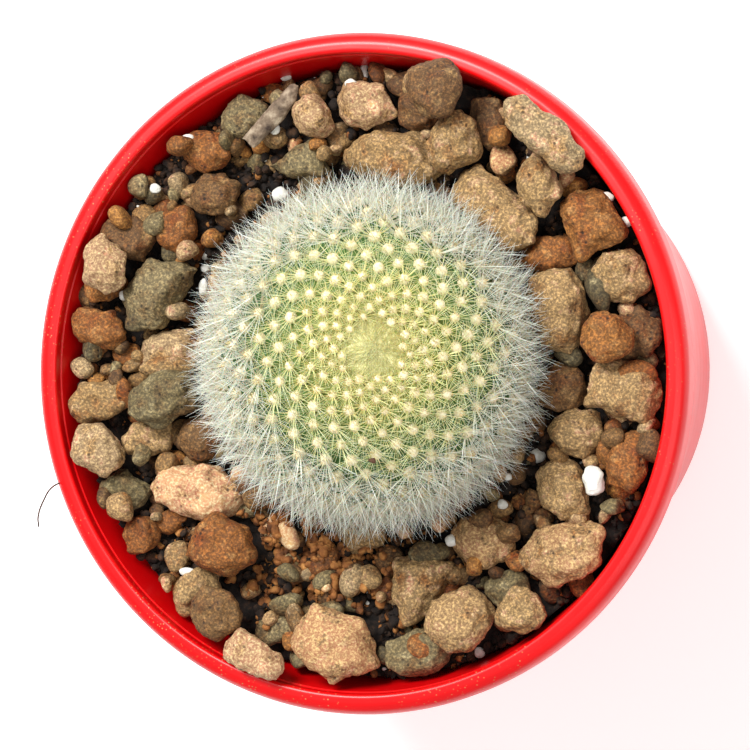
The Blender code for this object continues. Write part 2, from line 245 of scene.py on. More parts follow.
def red_plastic():
    """Polypropylene, injection moulded: clear red, softly glossy, with fine turning marks and sand dust."""
    paint, tree, shader = new_material(
        "red_polypropylene_moulded", Roughness=0.3, IOR=1.49, Specular_IOR_Level=0.45
    )
    spot = add(tree, "ShaderNodeTexCoord", "Object")
    cloudy = add(tree, NOISE, "Fac", {"Vector": spot, "Scale": per_mm(14), "Detail": 2})
    red = add(tree, RAMP, "Color", {"Fac": cloudy}, [(0.3, "#cf0006"), (0.7, "#de0409")])
    # Settled sand dust: grains a few tenths of a millimetre across, only where the broad noise gathers them.
    cells = {"Vector": spot, "Scale": per_mm(0.55), "Randomness": 1}
    dust = add(tree, "ShaderNodeTexVoronoi", "Distance", cells)
    grains = add(tree, RANGE, "Result", {"Value": dust, "From Min": 0.24, "From Max": 0.1})
    drift = add(tree, NOISE, "Fac", {"Vector": spot, "Scale": per_mm(16), "Detail": 5, "Roughness": 0.7})
    gathered = add(tree, RANGE, "Result", {"Value": drift, "From Min": 0.5, "From Max": 0.64})
    height = add(tree, "ShaderNodeSeparateXYZ", "Z", {0: spot})
    lip = {"Value": height, "From Min": POT_HEIGHT - 2.5 * MM, "From Max": POT_HEIGHT - 0.8 * MM}
    on_lip = add(tree, RANGE, "Result", lip)
    some = add(tree, MATHS, 0, {0: grains, 1: gathered}, operation="MULTIPLY")
    dusty = add(tree, MATHS, 0, {0: some, 1: on_lip}, operation="MULTIPLY")
    colours = {SHARE: dusty, FIRST: red, SECOND: linear("#b98455")}
    colour = add(tree, MIX, MIXED, colours, data_type="RGBA", blend_type="MIX")
    tree.links.new(shader.inputs["Base Color"], colour)
    rough = add(tree, RANGE, "Result", {"Value": drift, "To Min": 0.24, "To Max": 0.42})
    tree.links.new(shader.inputs["Roughness"], rough)
    # Rings left by turning the mould, really under 0.1 mm apart, drawn 0.9 mm apart so that they show.
    around = add(
        tree,
        "ShaderNodeTexWave",
        "Fac",
        {"Vector": spot, "Scale": per_mm(2.8), "Distortion": 0.4, "Detail": 1},
        wave_type="RINGS",
        rings_direction="Z",
    )
    marks = add(tree, MATHS, 0, {0: around, 1: dusty}, operation="ADD")
    bump = add(tree, BUMP, "Normal", {"Height": marks, "Strength": 0.25, "Distance": 0.06 * MM})
    tree.links.new(shader.inputs["Normal"], bump)
    return paint


def potting_soil():
    """Peat compost, sieved: near-black, matt and crumbly, with rusty crumbs."""
    paint, tree, shader = new_material("peat_compost_sieved", Roughness=0.95, IOR=1.4)
    spot = add(tree, "ShaderNodeTexCoord", "Object")
    lumps = add(tree, NOISE, "Fac", {"Vector": spot, "Scale": per_mm(1.1), "Detail": 6, "Roughness": 0.7})
    dark = add(tree, RAMP, "Color", {"Fac": lumps}, [(0.35, "#0d0a08"), (0.55, "#1e1611"), (0.72, "#4a3322")])
    tree.links.new(shader.inputs["Base Color"], dark)
    bump = add(tree, BUMP, "Normal", {"Height": lumps, "Strength": 0.9, "Distance": 0.4 * MM})
    tree.links.new(shader.inputs["Normal"], bump)
    return paint


def cactus_flesh():
    """Cactus skin, grown: waxy mid green, paler and yellower near the crown, finely mottled."""
    paint, tree, shader = new_material(
        "cactus_skin_grown", Roughness=0.42, IOR=1.42, Subsurface_Weight=0.12, Subsurface_Scale=1.5 * MM
    )
    spot = add(tree, "ShaderNodeTexCoord", "Object")
    age = add(tree, "ShaderNodeAttribute", "Fac", attribute_name="age")
    greens = [(0.0, "#cfcf78"), (0.22, "#b3ba5c"), (0.42, "#7d9a48"), (0.62, "#54803f"), (1.0, "#416a3a")]
    green = add(tree, RAMP, "Color", {"Fac": age}, greens)
    mottle = add(tree, NOISE, "Fac", {"Vector": spot, "Scale": per_mm(0.7), "Detail": 4, "Roughness": 0.6})
    tint = add(tree, RAMP, "Color", {"Fac": mottle}, [(0.35, "#6a6a6a"), (0.65, "#9a9a94")])
    colour = add(
        tree, MIX, MIXED, {SHARE: 0.6, FIRST: green, SECOND: tint}, data_type="RGBA", blend_type="OVERLAY"
    )
    tree.links.new(shader.inputs["Base Color"], colour)
    bump = add(tree, BUMP, "Normal", {"Height": mottle, "Strength": 0.2, "Distance": 0.1 * MM})
    tree.links.new(shader.inputs["Normal"], bump)
    return paint


def spine_material(name, stops, roughness):
    """Cactus spines, grown: hard and glassy, straw at the root and paler along the length."""
    paint, tree, shader = new_material(
        name, Roughness=roughness, IOR=1.52, Subsurface_Weight=0.25, Subsurface_Scale=0.5 * MM
    )
    along = add(tree, "ShaderNodeAttribute", "Fac", attribute_name="along")
    spot = add(tree, "ShaderNodeTexCoord", "Object")
    uneven = add(tree, NOISE, "Fac", {"Vector": spot, "Scale": per_mm(2.5), "Detail": 2})
    length = add(tree, RAMP, "Color", {"Fac": along}, stops)
    tint = add(tree, RAMP, "Color", {"Fac": uneven}, [(0.35, "#767674"), (0.65, "#8c8c88")])
    colour = add(
        tree, MIX, MIXED, {SHARE: 0.5, FIRST: length, SECOND: tint}, data_type="RGBA", blend_type="OVERLAY"
    )
    tree.links.new(shader.inputs["Base Color"], colour)
    return paint


def grain_material(name, stops, roughness, size):
    """Small matt things, felted, broken or split: each patch a little different. size is a patch's, in mm."""
    paint, tree, shader = new_material(name, Roughness=roughness, IOR=1.45)
    spot = add(tree, "ShaderNodeTexCoord", "Object")
    patch = add(tree, NOISE, "Fac", {"Vector": spot, "Scale": per_mm(size), "Detail": 3, "Roughness": 0.6})
    tree.links.new(shader.inputs["Base Color"], add(tree, RAMP, "Color", {"Fac": patch}, stops))
    fine = add(tree, NOISE, "Fac", {"Vector": spot, "Scale": per_mm(0.3), "Detail": 2})
    bump = add(tree, BUMP, "Normal", {"Height": fine, "Strength": 0.6, "Distance": 0.15 * MM})
    tree.links.new(shader.inputs["Normal"], bump)
    return paint


PLASTIC = red_plastic()
SOIL = potting_soil()
FLESH = cactus_flesh()
NEEDLES = spine_material(
    "cactus_radial_spines_grown", [(0.0, "#cfc7a0"), (0.3, "#dcdbcc"), (1.0, "#e6e6df")], 0.35
)
SHOULDER_NEEDLES = spine_material(
    "cactus_shoulder_spines_grown", [(0.0, "#d8d08a"), (0.4, "#e2e0b4"), (1.0, "#e4e4cf")], 0.35
)
YOUNG_NEEDLES = spine_material(
    "cactus_crown_spines_grown", [(0.0, "#cfcb84"), (0.4, "#e4dfa8"), (1.0, "#f1ecc4")], 0.4
)
CENTRALS = spine_material(
    "cactus_central_spines_grown", [(0.0, "#ecdcaa"), (0.5, "#f6e9c6"), (1.0, "#f6dfbd")], 0.45
)
FELT = grain_material(
    "areole_felt_grown", [(0.3, "#e6d6a4"), (0.55, "#f5e9c6"), (0.8, "#fdf6e0")], 0.95, 0.5
)
WOOL = grain_material(
    "crown_wool_grown", [(0.3, "#c4bf78"), (0.5, "#dad59a"), (0.7, "#ebe7b8")], 0.95, 0.6
)
WOOL_HAIR = spine_material(
    "crown_hairs_grown", [(0.0, "#d0ca86"), (0.5, "#e0dba2"), (1.0, "#ebe6bc")], 0.5
)
PEAT_CRUMBS = grain_material(
    "peat_crumbs_broken", [(0.3, "#0e0a08"), (0.5, "#231912"), (0.75, "#5a3d27")], 0.95, 1.6
)
GRIT = grain_material(
    "rusty_grit_broken", [(0.3, "#4e2c16"), (0.5, "#8c5628"), (0.72, "#c48c4c")], 0.85, 1.8
)
PERLITE = grain_material(
    "perlite_expanded", [(0.3, "#c4c0b2"), (0.5, "#dedcd2"), (0.7, "#f0efe9")], 0.9, 1.2
)
BARK = grain_material(
    "bark_chip_split", [(0.3, "#3c2f26"), (0.5, "#7d6b58"), (0.7, "#b5a48c")], 0.9, 1.5
)
ROOT = grain_material(
    "rootlet_dried", [(0.3, "#2a1a12"), (0.7, "#5d3d2a")], 0.8, 1.5
)

# ---------------------------------------------------------------- making


def deselect():
    bpy.ops.object.select_all(action="DESELECT")


def name_piece(name, material):
    """Names the active object, gives it its material and puts its place into its mesh."""
    obj = bpy.context.object
    obj.name = name
    obj.data.name = name
    obj.data.materials.clear()
    obj.data.materials.append(material)
    bpy.ops.object.transform_apply(location=True, rotation=True, scale=True)
    return obj


def finish_piece(obj, slot, *nodes):
    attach(obj, BODY)
    if nodes:
        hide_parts(*nodes)
    obj.select_set(False)
    return obj


def turned(name, material, profile, segments):
    """A ring drawn out point by point along a profile of (radius, height). An end at zero is closed."""
    deselect()
    radius, height = profile[0]
    bpy.ops.mesh.primitive_circle_add(vertices=segments, radius=max(radius, 1e-5), location=(0, 0, height))
    bpy.ops.object.transform_apply(location=True)
    bpy.ops.object.mode_set(mode="EDIT")
    bpy.ops.mesh.select_all(action="SELECT")
    if radius <= 1e-5:
        bpy.ops.mesh.edge_face_add()
    radius = max(radius, 1e-5)
    for next_radius, next_height in profile[1:]:
        next_radius = max(next_radius, 1e-5)
        bpy.ops.mesh.extrude_region_move(TRANSFORM_OT_translate={"value": (0, 0, next_height - height)})
        growth = next_radius / radius
        bpy.ops.transform.resize(value=(growth, growth, 1), center_override=(0, 0, next_height))
        radius, height = next_radius, next_height
    if radius <= 1e-5:
        bpy.ops.mesh.edge_face_add()
    bpy.ops.mesh.select_all(action="SELECT")
    bpy.ops.mesh.remove_doubles(threshold=4e-6)
    bpy.ops.mesh.normals_make_consistent(inside=False)
    bpy.ops.object.mode_set(mode="OBJECT")
    return name_piece(name, material)


def smooth(obj, angle=180):
    deselect()
    obj.select_set(True)
    bpy.context.view_layer.objects.active = obj
    bpy.ops.object.shade_smooth_by_angle(angle=math.radians(angle))


def apply(obj, kind, **settings):
    """Adds a modifier with its settings and applies it."""
    deselect()
    obj.select_set(True)
    bpy.context.view_layer.objects.active = obj
    modifier = obj.modifiers.new(kind.lower(), kind)
    for name, value in settings.items():
        setattr(modifier, name, value)
    bpy.ops.object.modifier_apply(modifier=modifier.name)


def coordinates(obj):
    found = np.empty(len(obj.data.vertices) * 3, np.float32)
    obj.data.vertices.foreach_get("co", found)
    return found.reshape(-1, 3)


def put_coordinates(obj, places):
    obj.data.vertices.foreach_set("co", np.asarray(places, np.float32).ravel())
    obj.data.update()


def paint_attribute(obj, name, values):
    layer = obj.data.attributes.new(name, "FLOAT", "POINT")
    layer.data.foreach_set("value", np.asarray(values, np.float32))


def copies(model, name, places, tones=None):
    """Copies of the models in turn, one at each place, joined into one piece. tones gives each its tone."""
    deselect()
    for number, place in enumerate(places):
        copy = model[number % len(model)].copy()
        copy.data = copy.data.copy()
        copy.data.transform(place)
        if tones is not None:
            paint_attribute(copy, "tone", np.full(len(copy.data.vertices), tones[number]))
        bpy.context.scene.collection.objects.link(copy)
        copy.select_set(True)
        bpy.context.view_layer.objects.active = copy
    bpy.ops.object.join()
    obj = bpy.context.object
    obj.name = name
    obj.data.name = name
    return obj


def discard(*objects):
    for obj in objects:
        bpy.data.objects.remove(obj)


def arc(centre, radius, start, end, steps):
    turns = [math.radians(start + (end - start) * i / steps) for i in range(steps + 1)]
    return [(centre[0] + radius * math.cos(t), centre[1] + radius * math.sin(t)) for t in turns]


# ---------------------------------------------------------------- pot


def wall_outside(z):
    top = RIM_RADIUS - LIP_WIDTH + WALL
    return FOOT_RADIUS + (top - FOOT_RADIUS) * z / POT_HEIGHT


def pot_profile():
    """Once round the shell's section: underside, foot ring, outer wall, rolled lip, inner wall, floor."""
    roof = POT_HEIGHT - LIP_THICKNESS
    lip_bottom = POT_HEIGHT - LIP_DEPTH
    ring = FOOT_RADIUS - FOOT_RING
    inner_centre = (RIM_RADIUS - LIP_WIDTH + LIP_INNER_ROUND, POT_HEIGHT - LIP_INNER_ROUND)
    heights = [POT_HEIGHT * i / 12 for i in range(1, 12)]
    inner_heights = [z for z in reversed(heights) if z > FLOOR_TOP + 2 * MM]
    return [
        (0, FLOOR_UNDERSIDE),
        (DRAIN_CIRCLE, FLOOR_UNDERSIDE),
        (ring, FLOOR_UNDERSIDE),
        (ring, 0.15 * MM),
        (ring + 0.15 * MM, 0),
        (FOOT_RADIUS - 0.5 * MM, 0),
        (FOOT_RADIUS - 0.15 * MM, 0.15 * MM),
        *[(wall_outside(z), z) for z in [0.5 * MM, *heights, roof - 0.4 * MM]],
        (wall_outside(roof) + 0.3 * MM, roof),
        (RIM_RADIUS - LIP_SKIRT, roof),
        (RIM_RADIUS - LIP_SKIRT, lip_bottom),
        (RIM_RADIUS - 0.25 * MM, lip_bottom),
        (RIM_RADIUS - 0.05 * MM, lip_bottom + 0.25 * MM),
        # The roll over the lip, its inner corner, and a fine step below it.
        *arc((RIM_RADIUS - LIP_ROUND, POT_HEIGHT - LIP_ROUND), LIP_ROUND, 0, 90, 12),
        *arc(inner_centre, LIP_INNER_ROUND, 90, 180, 5),
        (RIM_RADIUS - LIP_WIDTH - 0.05 * MM, POT_HEIGHT - 1.6 * MM),
        (RIM_RADIUS - LIP_WIDTH - 0.22 * MM, POT_HEIGHT - 1.75 * MM),
        *[(wall_outside(z) - WALL, z) for z in inner_heights],
        (wall_outside(FLOOR_TOP) - WALL - 0.3 * MM, FLOOR_TOP + 0.3 * MM),
        (wall_outside(FLOOR_TOP) - WALL - 1.0 * MM, FLOOR_TOP),
        (DRAIN_CIRCLE, FLOOR_TOP),
        (0, FLOOR_TOP),
    ]


def cut(obj, cutter):
    apply(obj, "BOOLEAN", operation="DIFFERENCE", solver="EXACT", object=cutter)
    discard(cutter)


def make_pot():
    pot = turned("moulded_pot", PLASTIC, pot_profile(), POT_SEGMENTS)
    for i in range(DRAIN_HOLES):
        turn = math.tau * i / DRAIN_HOLES
        place = (DRAIN_CIRCLE * math.cos(turn), DRAIN_CIRCLE * math.sin(turn), 2 * MM)
        deselect()
        bpy.ops.mesh.primitive_cylinder_add(vertices=40, radius=DRAIN_RADIUS, depth=8 * MM, location=place)
        cut(pot, bpy.context.object)
    for i in range(NOTCHES):
        turn = math.tau * (i + 0.5) / NOTCHES
        place = (FOOT_RADIUS * math.cos(turn), FOOT_RADIUS * math.sin(turn), 0)
        deselect()
        bpy.ops.mesh.primitive_cube_add(size=1, location=place, rotation=(0, 0, turn), scale=NOTCH)
        cut(pot, bpy.context.object)
    smooth(pot, 32)
    return finish_piece(pot, "red_plastic", "pot")


# ---------------------------------------------------------------- soil


def soil_height(x, y):
    """The soil's surface: level, heaped towards -X, with the CAD solid's lumps and finer crumbs on them."""
    heap = min(1, max(0, (-x - 16 * MM) / (18 * MM)))
    lumps = math.sin(x * 900 + 1) * math.sin(y * 1100 + 2) + 0.6 * math.sin(x * 2100 + y * 1700)
    spot = Vector((x, y, 0))
    crumbs = noise.fractal(spot * 700, 0.7, 2.1, 5) * 0.9 + abs(noise.noise(spot * 1500)) * 0.5
    return SOIL_LEVEL + SOIL_HEAP * heap + (0.35 * lumps + crumbs) * MM


def make_soil():
    bottom = FLOOR_TOP + 0.3 * MM
    edge = wall_outside(SOIL_LEVEL) - WALL - SOIL_CLEARANCE
    rings = 110
    profile = [(0, bottom), (wall_outside(bottom) - WALL - 1.7 * MM, bottom)]
    for i in range(1, 9):
        z = bottom + (SOIL_LEVEL - bottom) * i / 9
        profile.append((wall_outside(z) - WALL - SOIL_CLEARANCE, z))
    profile += [(edge * (1 - i / rings), SOIL_LEVEL) for i in range(rings + 1)]
    soil = turned("soil_bed", SOIL, profile, 360)
    places = coordinates(soil)
    for place in places:
        if place[2] > SOIL_LEVEL - 0.01 * MM:
            place[2] = soil_height(place[0], place[1])
    put_coordinates(soil, places)
    smooth(soil)
    return finish_piece(soil, "potting_soil", "soil")


# ---------------------------------------------------------------- cactus


def areole_spacing(angle):
    return CROWN_SPACING + (FLANK_SPACING - CROWN_SPACING) * (1 - math.exp(-angle / SPACING_ANGLE))


def areoles():
    """Direction and angle from the crown of each areole, on a golden-angle spiral that widens downwards."""
    found = []
    angle = math.radians(2)
    while angle < LOWEST_AREOLE:
        turn = GOLDEN_ANGLE * len(found)
        side = math.sin(angle)
        found.append((Vector((side * math.cos(turn), side * math.sin(turn), math.cos(angle))), angle))
        ring = math.tau * GLOBE_RADIUS**2 * max(side, 0.1)
        angle += 0.866 * areole_spacing(angle) ** 2 / ring
    return found


def on_globe(direction, out=0.0):
    """A point on the ball along a unit direction, raised by out."""
    return Vector(
        (
            direction.x * (GLOBE_RADIUS + out),
            direction.y * (GLOBE_RADIUS + out),
            direction.z * (GLOBE_HALF_HEIGHT + out),
        )
    )


def make_stem():
    below = math.pi - math.asin(NECK_RADIUS / GLOBE_RADIUS)
    rings = 110
    profile = [(0, NECK_BOTTOM), (NECK_RADIUS * 0.8, NECK_BOTTOM)]
    for i in range(rings + 1):
        turn = below * (1 - i / rings)
        radius = GLOBE_RADIUS * math.sin(turn) if i < rings else 0
        profile.append((radius, GLOBE_HALF_HEIGHT * math.cos(turn)))
    stem = turned("cactus_ball", FLESH, profile, 220)
    tips = np.array([d for d, _ in areoles()])
    places = coordinates(stem)
    ages = np.ones(len(places))
    for number, place in enumerate(places):
        length = math.sqrt(float(place @ place))
        direction = place / length
        angle = math.acos(min(1, max(-1, direction[2])))
        ages[number] = min(1, angle / math.radians(75))
        if angle > LOWEST_AREOLE:
            continue
        spacing = areole_spacing(angle)
        nearest = GLOBE_RADIUS * math.sqrt(max(0, 2 - 2 * float((tips @ direction).max())))
        fade = min(1, (LOWEST_AREOLE - angle) / 0.2) * min(1, spacing / (3 * MM))
        rise = TUBERCLE * fade * (0.5 + 0.5 * math.cos(math.pi * min(1, nearest / (0.58 * spacing))))
        place += direction * rise
    put_coordinates(stem, places)
    paint_attribute(stem, "age", ages)
    stem.data.transform(globe_place)
    smooth(stem)
    return finish_piece(stem, "cactus_flesh", "cactus_stem")


def needle_model(material, length, thickness, sides, bow):
    """One spine along +X: a ring drawn out to a bowed tip. Each point keeps its share of the length."""
    deselect()
    upright = (0, math.pi / 2, 0)
    bpy.ops.mesh.primitive_circle_add(
        vertices=sides, radius=thickness / 2, fill_type="NGON", rotation=upright
    )
    bpy.ops.object.transform_apply(rotation=True)
    bpy.ops.object.mode_set(mode="EDIT")
    bpy.ops.mesh.select_all(action="SELECT")
    for share, width in ((0.45, 0.85), (1.0, 0.12)):
        start = 0 if share < 1 else 0.45
        lift = bow * length * (share**2 - start**2)
        step = (length * (share - start), 0, lift)
        bpy.ops.mesh.extrude_region_move(TRANSFORM_OT_translate={"value": step})
        centre = (length * share, 0, bow * length * share**2)
        bpy.ops.transform.resize(value=(width, width, width), center_override=centre)
    bpy.ops.mesh.select_all(action="SELECT")
    bpy.ops.mesh.normals_make_consistent(inside=False)
    bpy.ops.object.mode_set(mode="OBJECT")
    needle = name_piece("needle", material)
    paint_attribute(needle, "along", np.clip(coordinates(needle)[:, 0] / length, 0, 1))
    return needle


def tuft_model(needle, count, low, high, rng):
    """A ring of spines round one areole, spread from near flat (low degrees) to nearly upright (high)."""
    places = []
    for i in range(count):
        turn = math.tau * (i + rng.uniform(-0.3, 0.3)) / count
        rise = math.radians(rng.uniform(low, high))
        size = rng.uniform(0.75, 1.12)
        place = Matrix.Rotation(turn, 4, "Z") @ Matrix.Rotation(-rise, 4, "Y")
        places.append(place @ Matrix.Scale(size, 4))
    return copies([needle], "tuft", places)


def areole_place(direction, angle, size, rng):
    """The matrix that stands a tuft on its areole, facing out, turned at random."""
    out = direction.normalized()
    stand = TUBERCLE * min(1, areole_spacing(angle) / (3 * MM))
    turn = out.to_track_quat("Z", "Y").to_matrix().to_4x4()
    spin = Matrix.Rotation(rng.uniform(0, math.tau), 4, "Z")
    return globe_place @ Matrix.Translation(on_globe(out, stand)) @ turn @ spin @ Matrix.Scale(size, 4)


def make_crown_wool():
    """The felted crown: a low yellow cushion with fine hairs combed towards its middle."""
    rings = 24
    reach = math.radians(14.5)
    profile = []
    for i in range(rings + 1):
        turn = reach * (1 - i / rings)
        lift = 0.75 * MM * (1 - (turn / reach) ** 2) - 0.15 * MM
        radius = (GLOBE_RADIUS + lift) * math.sin(turn) if i < rings else 0
        profile.append((radius, (GLOBE_HALF_HEIGHT + lift) * math.cos(turn)))
    low = (GLOBE_RADIUS * math.sin(reach) - 0.4 * MM, GLOBE_HALF_HEIGHT * math.cos(reach) - 0.6 * MM)
    wool = turned("crown_wool", WOOL, [(0, low[1]), low, *profile], 90)
    places = coordinates(wool)
    for place in places:
        place *= 1 + 0.006 * noise.fractal(Vector(place) * 1500, 0.7, 2, 3)
    put_coordinates(wool, places)
    wool.data.transform(globe_place)
    smooth(wool)
    finish_piece(wool, "cactus_spines")
    rng = random.Random(17)
    hair = needle_model(WOOL_HAIR, 1.7 * MM, 0.07 * MM, 3, 0.05)
    places = []
    for _ in range(1900):
        share = math.sqrt(rng.random())
        turn = rng.uniform(0, math.tau)
        angle = reach * 1.12 * share
        out = Vector((math.sin(angle) * math.cos(turn), math.sin(angle) * math.sin(turn), math.cos(angle)))
        lift = 0.72 * MM * max(0, 1 - share**2) - 0.1 * MM
        comb = Matrix.Rotation(turn + math.pi + rng.gauss(0, 0.35), 4, "Z")
        rise = Matrix.Rotation(-math.radians(rng.uniform(4, 30)), 4, "Y")
        place = Matrix.Translation(on_globe(out, lift)) @ comb @ rise
        places.append(globe_place @ (place @ Matrix.Scale(rng.uniform(0.6, 1.1), 4)))
    finish_piece(copies([hair], "crown_hairs", places), "cactus_spines")
    discard(hair)


def make_dried_bits():
    """Two brown scraps of dead flower caught in the spines."""
    scraps = pebble_models(ROOT, 2, 3)
    places = []
    for turn, angle, size in ((-142, 66, 1.7), (-68, 42, 1.2)):
        turn, angle = math.radians(turn), math.radians(angle)
        way = Vector((math.sin(angle) * math.cos(turn), math.sin(angle) * math.sin(turn), math.cos(angle)))
        place = Matrix.Translation(GLOBE_CENTRE + way * (GLOBE_RADIUS + 1.9 * MM))
        places.append(place @ Matrix.Diagonal((size, size * 0.7, size * 0.6, 1)))
    finish_piece(copies(scraps, "dried_flower_scraps", places), "bark")
    discard(*scraps)


# Bands of areoles down the ball: lowest angle, spines round each areole, flattest and steepest rise (degrees).
BANDS = (
    ("crown", 30, 28, 10, 58),
    ("shoulder", 47, 34, 8, 46),
    ("flank", 180, 46, 6, 62),
)
# Copied in turn, so that neighbours differ. Above this angle in degrees wool covers the areoles.
TUFT_MODELS = 5
WOOLLY_CROWN = 11


def make_spines():
    rng = random.Random(11)
    needles = {
        "crown": needle_model(YOUNG_NEEDLES, 2.5 * MM, 0.13 * MM, 3, 0.1),
        "shoulder": needle_model(SHOULDER_NEEDLES, 4.4 * MM, 0.105 * MM, 3, 0.06),
        "flank": needle_model(NEEDLES, 5.3 * MM, 0.115 * MM, 3, 0.05),
    }
    central = needle_model(CENTRALS, 1.25 * MM, 0.24 * MM, 4, 0.0)
    central_tufts = [tuft_model(central, 11, 28, 86, rng) for _ in range(4)]
    deselect()
    bpy.ops.mesh.primitive_ico_sphere_add(subdivisions=2, radius=0.84 * MM)
    pad = name_piece("pad", FELT)
    places = coordinates(pad)
    for place in places:
        place *= 1 + 0.22 * noise.noise(Vector(place) * 5000)
    put_coordinates(pad, places)
    tufts = {
        name: [tuft_model(needles[name], count, low, high, rng) for _ in range(TUFT_MODELS)]
        for name, _, count, low, high in BANDS
    }
    groups = {name: [] for name, *_ in BANDS}
    middles, pads = [], []
    for direction, angle in areoles():
        degrees = math.degrees(angle)
        if degrees < WOOLLY_CROWN:
            continue
        grown = min(1, areole_spacing(angle) / (3.6 * MM))
        band = next(name for name, end, *_ in BANDS if degrees < end)
        size = {"crown": 0.72 + 0.42 * degrees / 30, "shoulder": 0.55 + 0.45 * grown, "flank": 1.0}[band]
        groups[band].append(areole_place(direction, angle, size * rng.uniform(0.9, 1.1), rng))
        pads.append(areole_place(direction, angle, (0.5 + 0.5 * grown) * rng.uniform(0.9, 1.15), rng))
        middles.append(areole_place(direction, angle, (0.4 + 0.65 * grown) * rng.uniform(0.9, 1.1), rng))
    for band, places in groups.items():
        finish_piece(copies(tufts[band], f"spines_{band}", places), "cactus_spines")
        discard(*tufts[band])
    finish_piece(copies(central_tufts, "spines_central", middles), "cactus_spines")
    felt = copies([pad], "areole_felt", pads)
    smooth(felt)
    finish_piece(felt, "cactus_spines")
    discard(central, pad, *needles.values(), *central_tufts)
    make_crown_wool()
    make_dried_bits()


# ---------------------------------------------------------------- stones


def clouds(name, size, depth):
    texture = bpy.data.textures.new(name, "CLOUDS")
    texture.noise_scale = size
    texture.noise_depth = depth
    return texture


LUMPS = clouds("lumps", 3.4 * MM, 2)
DENTS = clouds("dents", 1.2 * MM, 3)


def weather(stone, voxel, lump, dent):
    """Rounds a rough block into a river stone: remeshed, worn smooth, then given lumps and dents."""
    apply(stone, "REMESH", mode="VOXEL", voxel_size=voxel)
    apply(stone, "SMOOTH", factor=0.5, iterations=4)
    apply(stone, "DISPLACE", texture=LUMPS, texture_coords="LOCAL", strength=lump, mid_level=0.5)
    apply(stone, "DISPLACE", texture=DENTS, texture_coords="LOCAL", strength=dent, mid_level=0.5)
    smooth(stone)


def cad_copy(node, name, material):
    """A copy of a CAD node's mesh as its own piece, its loose triangles merged."""
    copy = frame["nodes"][node].copy()
    copy.data = copy.data.copy()
    copy.parent = None
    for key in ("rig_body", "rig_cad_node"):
        if key in copy:
            del copy[key]
    bpy.context.scene.collection.objects.link(copy)
    deselect()
    copy.hide_render = copy.hide_viewport = False
    copy.select_set(True)
    bpy.context.view_layer.objects.active = copy
    bpy.ops.object.mode_set(mode="EDIT")
    bpy.ops.mesh.select_all(action="SELECT")
    bpy.ops.mesh.remove_doubles(threshold=2e-6)
    bpy.ops.mesh.normals_make_consistent(inside=False)
    bpy.ops.object.mode_set(mode="OBJECT")
    return name_piece(name, material)


# Each stone's tone within its rock, darkest 0 to palest 1, in the order of the gravel nodes.
TONES = (
    0.5, 0.4, 0.6, 0.5, 0.5, 0.4, 0.7, 0.4, 0.5, 0.6,
    0.6, 0.5, 0.6, 0.4, 0.5, 0.8, 0.6, 0.5, 0.5, 0.4,
    0.5, 0.5, 0.4, 0.9, 0.4, 0.5, 0.6, 0.7, 0.7, 0.6,
    0.9, 0.6, 0.6, 0.7, 0.6, 0.8, 0.8, 0.6, 0.5, 0.6,
    0.6, 0.6, 0.6, 0.6, 0.6, 0.6, 0.6, 0.6, 0.3, 0.5,
    0.5, 0.5, 0.5, 0.5,
)


def make_stones():
    slots = {p["node"]: p["material_slot"] for p in frame["record"]["subparts"]}
    for number, tone in enumerate(TONES, 1):
        node = f"gravel_{number:02d}"
        rock = slots[node].split("_")[1]
        stone = cad_copy(node, f"stone_{number:02d}", ROCKS[rock])
        weather(stone, 0.3 * MM, 1.6 * MM, 0.5 * MM)
        paint_attribute(stone, "tone", np.full(len(stone.data.vertices), tone))
        finish_piece(stone, slots[node], node)
    for number in (1, 2):
        grain = cad_copy(f"perlite_{number}", f"perlite_grain_{number}", PERLITE)
        weather(grain, 0.22 * MM, 0.9 * MM, 0.35 * MM)
        finish_piece(grain, "perlite", f"perlite_{number}")
    chip = cad_copy("bark_chip", "bark_splinter", BARK)
    apply(chip, "REMESH", mode="VOXEL", voxel_size=0.2 * MM)
    apply(chip, "DISPLACE", texture=DENTS, texture_coords="LOCAL", strength=0.22 * MM, mid_level=0.5)
    smooth(chip, 40)
    finish_piece(chip, "bark", "bark_chip")


class Bed:
    """What the small stones and crumbs settle on: every piece laid so far."""

    def __init__(self, pieces):
        self.trees = []
        for piece in pieces:
            self.lay(piece)

    def lay(self, piece):
        places = coordinates(piece)
        faces = [tuple(f.vertices) for f in piece.data.polygons]
        low, high = places.min(0), places.max(0)
        self.trees.append((low, high, BVHTree.FromPolygons([Vector(p) for p in places], faces)))

    def top(self, x, y):
        """The highest surface at x, y."""
        best = FLOOR_TOP
        for low, high, tree in self.trees:
            if low[0] <= x <= high[0] and low[1] <= y <= high[1] and high[2] > best:
                hit = tree.ray_cast(Vector((x, y, 0.2)), Vector((0, 0, -1)))[0]
                if hit:
                    best = max(best, hit.z)
        return best


def pebble_models(material, count, seed):
    """Rough blocks with rounded corners, 1 mm across, for the small stones."""
    rng = random.Random(seed)
    found = []
    for _ in range(count):
        deselect()
        bpy.ops.mesh.primitive_ico_sphere_add(subdivisions=2, radius=0.5 * MM)
        block = name_piece("block", material)
        places = coordinates(block)
        for place in places:
            place *= 1 + 0.28 * noise.noise(Vector(place) * 1300 + Vector((rng.random(), 0, 0)))
        for _ in range(5):
            way = Vector((rng.gauss(0, 1), rng.gauss(0, 1), rng.gauss(0, 1))).normalized()
            depth = places @ np.array(way) - rng.uniform(0.28, 0.4) * MM
            places -= np.clip(depth, 0, None)[:, None] * np.array(way) * 0.85
        put_coordinates(block, places)
        found.append(block)
    return found


